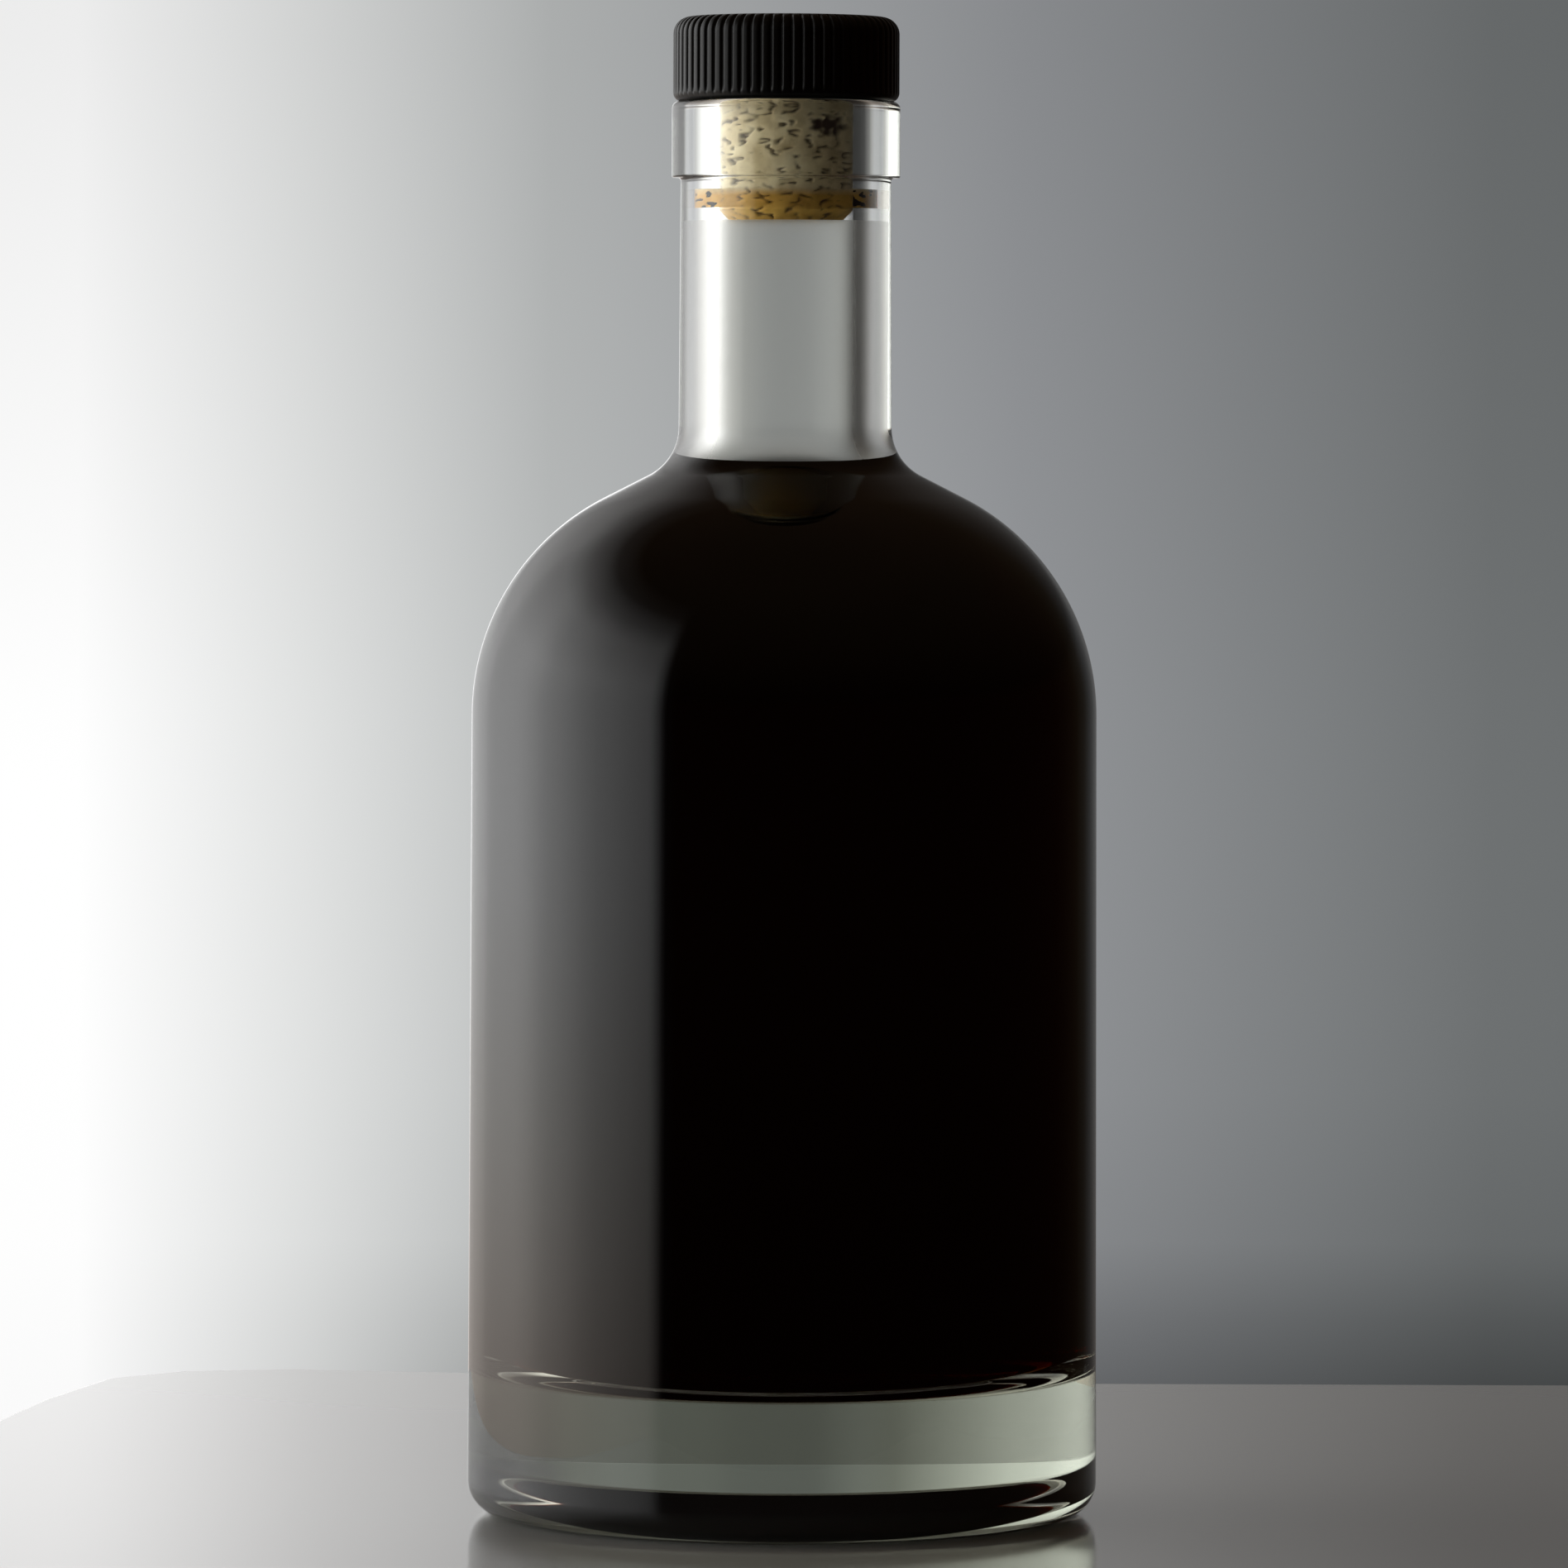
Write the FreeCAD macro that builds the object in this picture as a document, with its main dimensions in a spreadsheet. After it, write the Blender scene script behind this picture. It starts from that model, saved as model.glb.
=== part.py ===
import FreeCAD, Part
import math
import os

import Sketcher

# A 70 cl spirit bottle with a heavy clear base, filled to the root of its neck and shut by a
# bar-top stopper: a natural cork shank under a ribbed cap.
# Lengths are in millimetres and angles in degrees. +Z is up, the origin is the centre of the foot.

# ---------------------------------------------------------------- driving dimensions
DIMENSIONS = {
    # glass, outside
    "body_diameter": 91.2,
    "body_taper": 0.8,
    "heel_radius": 4.8,
    "shoulder_height": 115.8,
    "shoulder_centre": 9.8,
    "shoulder_turn": 63,
    "root_radius": 7.7,
    "neck_diameter": 30.4,
    "neck_taper": 0.4,
    "bottle_height": 204.4,
    "lip_overhang": 1.3,
    "lip_height": 11,
    "lip_top_round": 1,
    "lip_edge_round": 0.3,
    "lip_root_round": 0.5,
    "bearing_width": 2.4,
    "pushup_height": 6.5,
    "pushup_slope": 44,
    "pushup_round": 10,
    # glass, inside
    "wall": 2.4,
    "floor_height": 19.2,
    "floor_corner_radius": 15,
    "inner_shoulder_height": 113.8,
    "flare_radius": 11,
    "bore_diameter": 19.5,
    "mouth_round": 0.8,
    # drink
    "fill_depth": 54.2,
    # stopper
    "cork_length": 17.2,
    "cork_clearance": 0.05,
    "cork_chamfer": 1.5,
    "cap_setback": 0.15,
    "cap_height": 12.2,
    "cap_top_round": 2.5,
    "cap_bottom_round": 1.3,
    "groove_radius": 0.45,
    "groove_depth": 0.32,
    "groove_count": 68,
}

OVERCUT = 1
RIGHT_ANGLE = 90
HALF_TURN = 180
FULL_TURN = 360
EDGE_TOLERANCE = 1e-4
# how a sketch numbers its origin, its axes and the points of a line or an arc
ORIGIN = -1
HORIZONTAL_AXIS = -1
VERTICAL_AXIS = -2
START = 1
END = 2
CENTRE = 3

doc = FreeCAD.newDocument("SpiritBottle")


class Size:
    """A length or angle: its value, and the sheet expression that drives it."""

    def __init__(self, value, text):
        self.value = value
        self.text = text

    def __add__(self, other):
        return Size(self.value + number(other), f"({self.text} + {written(other)})")

    def __sub__(self, other):
        return Size(self.value - number(other), f"({self.text} - {written(other)})")

    def __truediv__(self, divisor):
        return Size(self.value / divisor, f"({self.text} / {divisor})")


def number(item):
    return item.value if isinstance(item, Size) else item


def written(item):
    return item.text if isinstance(item, Size) else str(item)


def size(alias):
    return Size(DIMENSIONS[alias], f"Sizes.{alias}")


def make_sheet():
    """Write every driving dimension into a spreadsheet cell that carries its name."""
    sheet = doc.addObject("Spreadsheet::Sheet", "Sizes")
    for row, (alias, value) in enumerate(DIMENSIONS.items(), start=1):
        sheet.set(f"A{row}", alias)
        sheet.set(f"B{row}", str(value))
        sheet.setAlias(f"B{row}", alias)
    doc.recompute()


# ---------------------------------------------------------------- sizes that others are built on
BODY_RADIUS = size("body_diameter") / 2
SHOULDER_EDGE = BODY_RADIUS - size("body_taper") / 2
SHOULDER_RADIUS = SHOULDER_EDGE - size("shoulder_centre")
SHOULDER_LEAN = size("shoulder_turn") + RIGHT_ANGLE
NECK_RADIUS = size("neck_diameter") / 2
NECK_ROOT_RADIUS = NECK_RADIUS + size("neck_taper") / 2
LIP_RADIUS = NECK_RADIUS + size("lip_overhang")
LIP_BASE = size("bottle_height") - size("lip_height")
BEARING_EDGE = BODY_RADIUS - size("heel_radius") - size("bearing_width")
PUSHUP_LEAN = Size(HALF_TURN, str(HALF_TURN)) - size("pushup_slope")
BORE_RADIUS = size("bore_diameter") / 2
FILL_LEVEL = size("bottle_height") - size("fill_depth")
CORK_RADIUS = BORE_RADIUS - size("cork_clearance")
CAP_RADIUS = LIP_RADIUS - size("cap_setback")


# ---------------------------------------------------------------- helpers
def make_body(label):
    body = doc.addObject("PartDesign::Body", label)
    body.Label = label
    return body


def make_sketch(body, name, plane):
    """Attach a new sketch to one of the body's own origin planes."""
    sketch = body.newObject("Sketcher::SketchObject", name)
    support = next(item for item in body.Origin.OriginFeatures if item.Role == plane)
    sketch.AttachmentSupport = (support, [""])
    sketch.MapMode = "FlatFace"
    return sketch


def line(first, last):
    return Part.LineSegment(FreeCAD.Vector(*first, 0), FreeCAD.Vector(*last, 0))


def circle(centre, radius):
    return Part.Circle(FreeCAD.Vector(*centre, 0), FreeCAD.Vector(0, 0, 1), radius)


def arc(centre, radius, start_angle, end_angle):
    """Counter-clockwise arc; a sketch numbers its start 1 and its end 2."""
    return Part.ArcOfCircle(circle(centre, radius), math.radians(start_angle), math.radians(end_angle))


def constrain(sketch, kind, *references):
    sketch.addConstraint(Sketcher.Constraint(kind, *references))


def bind(sketch, name, kind, references, driver, value=None):
    """Add one named dimension and drive it from the sheet."""
    start_value = driver.value if value is None else value
    sketch.addConstraint(Sketcher.Constraint(kind, *references, start_value))
    sketch.renameConstraint(sketch.ConstraintCount - 1, name)
    sketch.setExpression(f"Constraints.{name}", driver.text)


def bind_across(sketch, name, curve, point, driver):
    bind(sketch, name, "DistanceX", (ORIGIN, START, curve, point), driver)


def bind_up(sketch, name, curve, point, driver):
    bind(sketch, name, "DistanceY", (ORIGIN, START, curve, point), driver)


def bind_slope(sketch, name, curve, driver):
    """Lean of a line from level; the sketch holds it in radians."""
    bind(sketch, name, "Angle", (curve,), driver, math.radians(driver.value))


def draw_outline(sketch, walk):
    """Draw a closed outline. Each step is (curve, first point, last point, joint to the next)."""
    for curve, _, _, _ in walk:
        sketch.addGeometry(curve, False)
    for step, (_, _, last, joint) in enumerate(walk):
        following = (step + 1) % len(walk)
        constrain(sketch, joint, step, last, following, walk[following][1])


def level_and_plumb(sketch, flats, uprights):
    for curve in flats:
        constrain(sketch, "Horizontal", curve)
    for curve in uprights:
        constrain(sketch, "Vertical", curve)


def revolve(body, kind, name, sketch):
    feature = body.newObject(f"PartDesign::{kind}", name)
    feature.Profile = sketch
    feature.ReferenceAxis = (sketch, ["V_Axis"])
    feature.Angle = FULL_TURN
    doc.recompute()
    return feature


def check_cut(before, feature):
    """A groove or pocket that misses the solid raises no error, so its volume is compared."""
    if feature.Shape.Volume >= before.Shape.Volume:
        raise RuntimeError(f"{feature.Name} removed nothing")


def edge_of_circle(base, radius, height):
    """Name of the circular edge of base with this radius at this height."""
    for index, edge in enumerate(base.Shape.Edges, start=1):
        if not isinstance(edge.Curve, Part.Circle):
            continue
        off_radius = abs(edge.Curve.Radius - radius)
        off_height = abs(edge.Curve.Center.z - height)
        if max(off_radius, off_height) < EDGE_TOLERANCE:
            return f"Edge{index}"
    raise RuntimeError(f"{base.Name} has no edge of radius {radius} at height {height}")


def dress_edge(body, kind, name, base, circle_at, drive, cell):
    """Fillet or chamfer one circular edge, given as (radius, height)."""
    feature = body.newObject(f"PartDesign::{kind}", name)
    feature.Base = (base, [edge_of_circle(base, *circle_at)])
    feature.setExpression(drive, size(cell).text)
    doc.recompute()
    return feature


def round_edge(body, name, base, circle_at, cell):
    return dress_edge(body, "Fillet", name, base, circle_at, "Radius", cell)


# ---------------------------------------------------------------- outlines of the glass
def shoulder_arc(height, radius):
    """Centre and upper end of a shoulder's arc that starts upright at this height."""
    turn = math.radians(DIMENSIONS["shoulder_turn"])
    centre = (DIMENSIONS["shoulder_centre"], height)
    end = (centre[0] + radius * math.cos(turn), centre[1] + radius * math.sin(turn))
    return centre, end


def root_arc(neck_radius, root_radius, cone_start):
    """Lower end and centre of the hollow arc that turns the shoulder's slope up the neck."""
    turn = math.radians(DIMENSIONS["shoulder_turn"])
    across = neck_radius + root_radius * (1 - math.cos(turn))
    up = cone_start[1] + (cone_start[0] - across) / math.tan(turn)
    return (across, up), (neck_radius + root_radius, up + root_radius * math.sin(turn))


def draw_outside(sketch):
    """Right half of the bottle's outer outline, from the foot up and back down the axis."""
    body_radius = BODY_RADIUS.value
    heel = DIMENSIONS["heel_radius"]
    turn = DIMENSIONS["shoulder_turn"]
    root_radius = DIMENSIONS["root_radius"]
    neck_root = NECK_ROOT_RADIUS.value
    neck_top = (NECK_RADIUS.value, LIP_BASE.value)
    lip_under = (LIP_RADIUS.value, LIP_BASE.value)
    lip_over = (LIP_RADIUS.value, DIMENSIONS["bottle_height"])
    top = (0, DIMENSIONS["bottle_height"])
    side_top = (SHOULDER_EDGE.value, DIMENSIONS["shoulder_height"])
    radius = SHOULDER_RADIUS.value
    centre, cone_start = shoulder_arc(DIMENSIONS["shoulder_height"], radius)
    meet, root_centre = root_arc(neck_root, root_radius, cone_start)
    draw_outline(sketch, [
        (line((0, 0), (body_radius - heel, 0)), START, END, "Tangent"),
        (arc((body_radius - heel, heel), heel, -RIGHT_ANGLE, 0), START, END, "Tangent"),
        (line((body_radius, heel), side_top), START, END, "Tangent"),
        (arc(centre, radius, 0, turn), START, END, "Tangent"),
        (line(cone_start, meet), START, END, "Tangent"),
        (arc(root_centre, root_radius, HALF_TURN, HALF_TURN + turn), END, START, "Tangent"),
        (line((neck_root, root_centre[1]), neck_top), START, END, "Coincident"),
        (line(neck_top, lip_under), START, END, "Coincident"),
        (line(lip_under, lip_over), START, END, "Coincident"),
        (line(lip_over, top), START, END, "Coincident"),
        (line(top, (0, 0)), START, END, "Coincident"),
    ])
    foot, heel_arc, side, shoulder, cone, root, neck, under, edge, rim, axis = range(11)
    constrain(sketch, "Coincident", foot, START, ORIGIN, START)
    level_and_plumb(sketch, (foot, under, rim), (edge, axis))
    bind(sketch, "heel", "Radius", (heel_arc,), size("heel_radius"))
    bind_across(sketch, "body", side, START, BODY_RADIUS)
    bind_across(sketch, "shoulder_edge", side, END, SHOULDER_EDGE)
    bind_up(sketch, "shoulder_height", side, END, size("shoulder_height"))
    bind(sketch, "shoulder", "Radius", (shoulder,), SHOULDER_RADIUS)
    bind_slope(sketch, "slope", cone, SHOULDER_LEAN)
    bind(sketch, "root", "Radius", (root,), size("root_radius"))
    bind_across(sketch, "neck_root", neck, START, NECK_ROOT_RADIUS)
    bind_across(sketch, "neck_top", neck, END, NECK_RADIUS)
    bind_up(sketch, "lip_base", neck, END, LIP_BASE)
    bind_across(sketch, "lip", edge, END, LIP_RADIUS)
    bind_up(sketch, "height", edge, END, size("bottle_height"))


def draw_cavity(sketch):
    """Right half of the inside: floor, rounded corner, wall, shoulder, flare and bore."""
    wall = DIMENSIONS["wall"]
    floor = DIMENSIONS["floor_height"]
    corner = DIMENSIONS["floor_corner_radius"]
    flare = DIMENSIONS["flare_radius"]
    turn = DIMENSIONS["shoulder_turn"]
    inner = BODY_RADIUS.value - wall
    bore = BORE_RADIUS.value
    mouth = DIMENSIONS["bottle_height"] + OVERCUT
    side_top = (SHOULDER_EDGE.value - wall, DIMENSIONS["inner_shoulder_height"])
    radius = SHOULDER_RADIUS.value - wall
    centre, cone_start = shoulder_arc(DIMENSIONS["inner_shoulder_height"], radius)
    meet, flare_centre = root_arc(bore, flare, cone_start)
    draw_outline(sketch, [
        (line((0, floor), (inner - corner, floor)), START, END, "Tangent"),
        (arc((inner - corner, floor + corner), corner, -RIGHT_ANGLE, 0), START, END, "Tangent"),
        (line((inner, floor + corner), side_top), START, END, "Tangent"),
        (arc(centre, radius, 0, turn), START, END, "Tangent"),
        (line(cone_start, meet), START, END, "Tangent"),
        (arc(flare_centre, flare, HALF_TURN, HALF_TURN + turn), END, START, "Tangent"),
        (line((bore, flare_centre[1]), (bore, mouth)), START, END, "Coincident"),
        (line((bore, mouth), (0, mouth)), START, END, "Coincident"),
        (line((0, mouth), (0, floor)), START, END, "Coincident"),
    ])
    base, corner_arc, side, shoulder, cone, flare_arc, neck, top, axis = range(9)
    constrain(sketch, "PointOnObject", base, START, VERTICAL_AXIS)
    level_and_plumb(sketch, (base, top), (neck, axis))
    bind_up(sketch, "floor", base, START, size("floor_height"))
    bind(sketch, "corner", "Radius", (corner_arc,), size("floor_corner_radius"))
    bind_across(sketch, "inner", side, START, BODY_RADIUS - size("wall"))
    bind_across(sketch, "shoulder_edge", side, END, SHOULDER_EDGE - size("wall"))
    bind_up(sketch, "shoulder_height", side, END, size("inner_shoulder_height"))
    bind(sketch, "shoulder", "Radius", (shoulder,), SHOULDER_RADIUS - size("wall"))
    bind_slope(sketch, "slope", cone, SHOULDER_LEAN)
    bind(sketch, "flare", "Radius", (flare_arc,), size("flare_radius"))
    bind_across(sketch, "bore", neck, END, BORE_RADIUS)
    bind_up(sketch, "mouth", neck, END, size("bottle_height") + OVERCUT)


def draw_pushup(sketch):
    """Hollow under the foot: a cone from the bearing ring, rounded over into a flat crown."""
    edge = BEARING_EDGE.value
    rise = DIMENSIONS["pushup_height"]
    rounding = DIMENSIONS["pushup_round"]
    slope = math.radians(DIMENSIONS["pushup_slope"])
    cone_top = rise - rounding * (1 - math.cos(slope))
    cone_radius = edge - cone_top / math.tan(slope)
    crown_radius = cone_radius - rounding * math.sin(slope)
    middle = (crown_radius, rise - rounding)
    lean = RIGHT_ANGLE - DIMENSIONS["pushup_slope"]
    draw_outline(sketch, [
        (line((0, 0), (edge, 0)), START, END, "Coincident"),
        (line((edge, 0), (cone_radius, cone_top)), START, END, "Tangent"),
        (arc(middle, rounding, lean, RIGHT_ANGLE), START, END, "Tangent"),
        (line((crown_radius, rise), (0, rise)), START, END, "Coincident"),
        (line((0, rise), (0, 0)), START, END, "Coincident"),
    ])
    chord, cone, turn, crown, axis = range(5)
    constrain(sketch, "Coincident", chord, START, ORIGIN, START)
    level_and_plumb(sketch, (chord, crown), (axis,))
    bind_across(sketch, "edge", chord, END, BEARING_EDGE)
    bind_slope(sketch, "slope", cone, PUSHUP_LEAN)
    bind(sketch, "turn", "Radius", (turn,), size("pushup_round"))
    bind_up(sketch, "rise", axis, START, size("pushup_height"))


def draw_headspace(sketch):
    """Everything above the filling level, out past the widest part of the bottle."""
    level = FILL_LEVEL.value
    reach = BODY_RADIUS.value
    above = DIMENSIONS["bottle_height"] + 2 * OVERCUT
    draw_outline(sketch, [
        (line((0, level), (reach, level)), START, END, "Coincident"),
        (line((reach, level), (reach, above)), START, END, "Coincident"),
        (line((reach, above), (0, above)), START, END, "Coincident"),
        (line((0, above), (0, level)), START, END, "Coincident"),
    ])
    surface, side, lid, axis = range(4)
    constrain(sketch, "PointOnObject", surface, START, VERTICAL_AXIS)
    level_and_plumb(sketch, (surface, lid), (side, axis))
    bind_across(sketch, "reach", surface, END, BODY_RADIUS)
    bind_up(sketch, "level", surface, END, FILL_LEVEL)
    bind_up(sketch, "above", side, END, size("bottle_height") + 2 * OVERCUT)


# ---------------------------------------------------------------- pieces
def make_bottle():
    """Clear glass bottle: turned outside, hollowed from its mouth, pushed up under its foot."""
    body = make_body("bottle")
    outside = make_sketch(body, "Outside", "XZ_Plane")
    draw_outside(outside)
    blank = revolve(body, "Revolution", "Blank", outside)

    top = DIMENSIONS["bottle_height"]
    lip_upper = (LIP_RADIUS.value, top)
    lip_lower = (LIP_RADIUS.value, LIP_BASE.value)
    lip_inner = (NECK_RADIUS.value, LIP_BASE.value)
    lip_top = round_edge(body, "LipTop", blank, lip_upper, "lip_top_round")
    lip_edge = round_edge(body, "LipEdge", lip_top, lip_lower, "lip_edge_round")
    lip_root = round_edge(body, "LipRoot", lip_edge, lip_inner, "lip_root_round")

    hollow = make_sketch(body, "Hollow", "XZ_Plane")
    draw_cavity(hollow)
    cavity = revolve(body, "Groove", "Cavity", hollow)
    check_cut(lip_root, cavity)
    mouth = round_edge(body, "Mouth", cavity, (BORE_RADIUS.value, top), "mouth_round")

    under = make_sketch(body, "Under", "XZ_Plane")
    draw_pushup(under)
    pushup = revolve(body, "Groove", "PushUp", under)
    check_cut(mouth, pushup)
    return body


def make_whisky():
    """The drink: the bottle's inside, cut off flat at the filling level."""
    body = make_body("whisky")
    inside = make_sketch(body, "Inside", "XZ_Plane")
    draw_cavity(inside)
    full = revolve(body, "Revolution", "Full", inside)

    empty = make_sketch(body, "Empty", "XZ_Plane")
    draw_headspace(empty)
    headspace = revolve(body, "Groove", "Headspace", empty)
    check_cut(full, headspace)
    return body


def pad_circle(body, name, radius, depth, downward):
    """Round pad on the body's own base plane, drawn about the axis."""
    sketch = make_sketch(body, f"{name}Circle", "XY_Plane")
    sketch.addGeometry(circle((0, 0), radius.value), False)
    constrain(sketch, "Coincident", 0, CENTRE, ORIGIN, START)
    bind(sketch, "radius", "Radius", (0,), radius)
    pad = body.newObject("PartDesign::Pad", name)
    pad.Profile = sketch
    pad.Reversed = downward
    pad.setExpression("Length", depth.text)
    doc.recompute()
    return pad


def seat_on_mouth(body):
    """Stand a piece that is drawn about its own base plane on the bottle's mouth."""
    body.setExpression(".Placement.Base.z", size("bottle_height").text)
    doc.recompute()


def make_cork():
    """Natural cork shank that hangs from the cap into the bore, with a chamfered end."""
    body = make_body("cork")
    shank = pad_circle(body, "Shank", CORK_RADIUS, size("cork_length"), True)
    tip = (CORK_RADIUS.value, -DIMENSIONS["cork_length"])
    dress_edge(body, "Chamfer", "Tip", shank, tip, "Size", "cork_chamfer")
    seat_on_mouth(body)
    return body


def make_cap():
    """Moulded cap that rests on the lip, with upright grip grooves all round its side."""
    body = make_body("cap")
    radius = CAP_RADIUS.value
    disc = pad_circle(body, "Disc", CAP_RADIUS, size("cap_height"), False)
    crown = round_edge(body, "Crown", disc, (radius, DIMENSIONS["cap_height"]), "cap_top_round")
    skirt = round_edge(body, "Skirt", crown, (radius, 0), "cap_bottom_round")

    reach = CAP_RADIUS + size("groove_radius") - size("groove_depth")
    sketch = make_sketch(body, "GrooveCircle", "XY_Plane")
    sketch.addGeometry(circle((reach.value, 0), DIMENSIONS["groove_radius"]), False)
    constrain(sketch, "PointOnObject", 0, CENTRE, HORIZONTAL_AXIS)
    bind(sketch, "groove", "Radius", (0,), size("groove_radius"))
    bind_across(sketch, "reach", 0, CENTRE, reach)
    groove = body.newObject("PartDesign::Pocket", "Groove")
    groove.Profile = sketch
    groove.Type = "ThroughAll"
    groove.Reversed = True
    doc.recompute()
    check_cut(skirt, groove)

    grooves = body.newObject("PartDesign::PolarPattern", "Grooves")
    grooves.Originals = [groove]
    grooves.Axis = (sketch, ["N_Axis"])
    grooves.Angle = FULL_TURN
    grooves.setExpression("Occurrences", size("groove_count").text)
    body.Tip = grooves
    seat_on_mouth(body)
    check_cut(groove, grooves)
    return body


def check_document(bodies):
    """Stop on any object that failed to build, and on any piece that is empty or broken."""
    for item in doc.Objects:
        if "Invalid" in item.State or "Error" in item.State:
            raise RuntimeError(f"{item.Name} did not build: {item.State}")
    for body in bodies:
        if body.Shape.isNull() or not body.Shape.isValid():
            raise RuntimeError(f"{body.Label} has no valid solid")
        if len(body.Shape.Solids) != 1:
            raise RuntimeError(f"{body.Label} is not one solid")


def write_parts(bodies):
    os.makedirs("parts", exist_ok=True)
    for body in bodies:
        body.Shape.exportStep(f"parts/{body.Label}.step")
        print(f"{body.Label}: {body.Shape.Volume:.0f} cubic mm")


make_sheet()
pieces = [make_bottle(), make_whisky(), make_cork(), make_cap()]
doc.recompute()
check_document(pieces)
write_parts(pieces)
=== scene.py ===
"""Bottle of whisky: clear glass with a heavy base, a dark drink, a cork and a ribbed black cap."""

import math

import bpy
from mathutils import Matrix, Vector, noise


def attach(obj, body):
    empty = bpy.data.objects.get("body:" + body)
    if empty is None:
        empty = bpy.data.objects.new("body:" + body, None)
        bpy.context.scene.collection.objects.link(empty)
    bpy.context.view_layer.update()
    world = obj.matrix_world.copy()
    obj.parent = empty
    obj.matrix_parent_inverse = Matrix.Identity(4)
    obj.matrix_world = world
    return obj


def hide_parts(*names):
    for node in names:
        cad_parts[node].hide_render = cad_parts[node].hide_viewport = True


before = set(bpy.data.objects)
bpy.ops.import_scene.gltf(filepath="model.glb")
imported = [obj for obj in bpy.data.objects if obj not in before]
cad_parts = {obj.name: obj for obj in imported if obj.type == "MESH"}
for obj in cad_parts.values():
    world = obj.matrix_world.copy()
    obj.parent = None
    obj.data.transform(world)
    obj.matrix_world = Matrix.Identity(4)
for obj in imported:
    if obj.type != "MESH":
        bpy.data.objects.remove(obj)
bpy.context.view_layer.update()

MM = 0.001

# ---------------------------------------------------------------- sizes, in millimetres
BODY_RADIUS = 45.6
SHOULDER_EDGE = 45.2
SHOULDER_HEIGHT = 115.8
SHOULDER_CENTRE = 9.8
SHOULDER_TURN = 63
HEEL_RADIUS = 4.8
BEARING_EDGE = 38.4
PUSHUP_HEIGHT = 6.5
PUSHUP_SLOPE = 44
PUSHUP_ROUND = 10
ROOT_RADIUS = 7.7
NECK_ROOT_RADIUS = 15.4
NECK_TOP_RADIUS = 15.2
LIP_BASE = 193.4
LIP_RADIUS = 16.5
LIP_TOP_ROUND = 1
LIP_EDGE_ROUND = 0.3
LIP_ROOT_ROUND = 0.5
MOUTH_HEIGHT = 204.4
MOUTH_ROUND = 0.8
WALL = 2.4
FLOOR_HEIGHT = 19.2
FLOOR_CORNER_RADIUS = 15
FLARE_RADIUS = 11
INNER_SHOULDER_HEIGHT = 113.8
BORE_RADIUS = 9.75
FILL_LEVEL = 150.2
MENISCUS_RISE = 1
MENISCUS_LENGTH = 1.1
DRINK_OVERLAP = 0.06
CORK_RADIUS = 9.7
CORK_END = 187.2
CORK_CHAMFER = 1.5
FILM_BOTTOM = 189
FILM_TOP = 191.7
FILM_INTO_GLASS = 0.03
FILM_INTO_CORK = 0.02
CAP_RADIUS = 16.35
CAP_TOP = 216.6
CAP_TOP_ROUND = 2.5
CAP_BOTTOM_ROUND = 1.3
RIB_COUNT = 68
RIB_SAMPLES = 14
GROOVE_WIDTH = 0.24
GROOVE_DEPTH = 0.34

GLASS_IOR = 1.52
WHISKY_IOR = 1.36

TURN_STEPS = 256
SHARED_DECIMALS = 4
RIGHT_ANGLE = 90
HALF_TURN = 180


# ---------------------------------------------------------------- turned outlines
def line(first, last, steps=1):
    """Straight run of an outline as (radius, height, normal); the outside is on its right."""
    across, up = last[0] - first[0], last[1] - first[1]
    length = math.hypot(across, up)
    normal = (up / length, -across / length)
    return [
        (first[0] + across * i / steps, first[1] + up * i / steps, normal)
        for i in range(steps + 1)
    ]


def arc(centre, radius, first, last, steps=24):
    """Round run of an outline between two angles in degrees; the outside is on its right."""
    side = 1 if last > first else -1
    points = []
    for i in range(steps + 1):
        angle = math.radians(first + (last - first) * i / steps)
        across, up = math.cos(angle), math.sin(angle)
        normal = (side * across, side * up)
        points.append((centre[0] + radius * across, centre[1] + radius * up, normal))
    return points


def spin(name, runs):
    """Turn runs of (points, material slot) about the axis into one mesh with exact normals."""
    mesh = bpy.data.meshes.new(name)
    vertices, rings, faces, slots, normals = [], {}, [], [], []

    def ring(point):
        """Vertices of the ring through a point, shared by runs that meet there."""
        radius, height = point[:2]
        key = (round(radius, SHARED_DECIMALS), round(height, SHARED_DECIMALS))
        if key not in rings:
            count = 1 if key[0] == 0 else TURN_STEPS
            rings[key] = [len(vertices) + i for i in range(count)]
            for i in range(count):
                turn = 2 * math.pi * i / TURN_STEPS
                x, y = radius * MM * math.cos(turn), radius * MM * math.sin(turn)
                vertices.append((x, y, height * MM))
        return rings[key]

    def add_face(corners, slot):
        faces.append([vertex for vertex, _, _ in corners])
        slots.append(slot)
        for _, (across, up), step in corners:
            turn = 2 * math.pi * step / TURN_STEPS
            normals.append((across * math.cos(turn), across * math.sin(turn), up))

    for points, slot in runs:
        for low, high in zip(points, points[1:]):
            below, above = ring(low), ring(high)
            for i in range(TURN_STEPS):
                j = (i + 1) % TURN_STEPS
                corners = []
                if len(below) == 1:
                    corners.append((below[0], low[2], i))
                else:
                    corners += [(below[i], low[2], i), (below[j], low[2], j)]
                if len(above) == 1:
                    corners.append((above[0], high[2], i))
                else:
                    corners += [(above[j], high[2], j), (above[i], high[2], i)]
                add_face(corners, slot)
    mesh.from_pydata(vertices, [], faces)
    mesh.polygons.foreach_set("use_smooth", [True] * len(faces))
    mesh.polygons.foreach_set("material_index", slots)
    mesh.normals_split_custom_set(normals)
    return mesh


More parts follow.
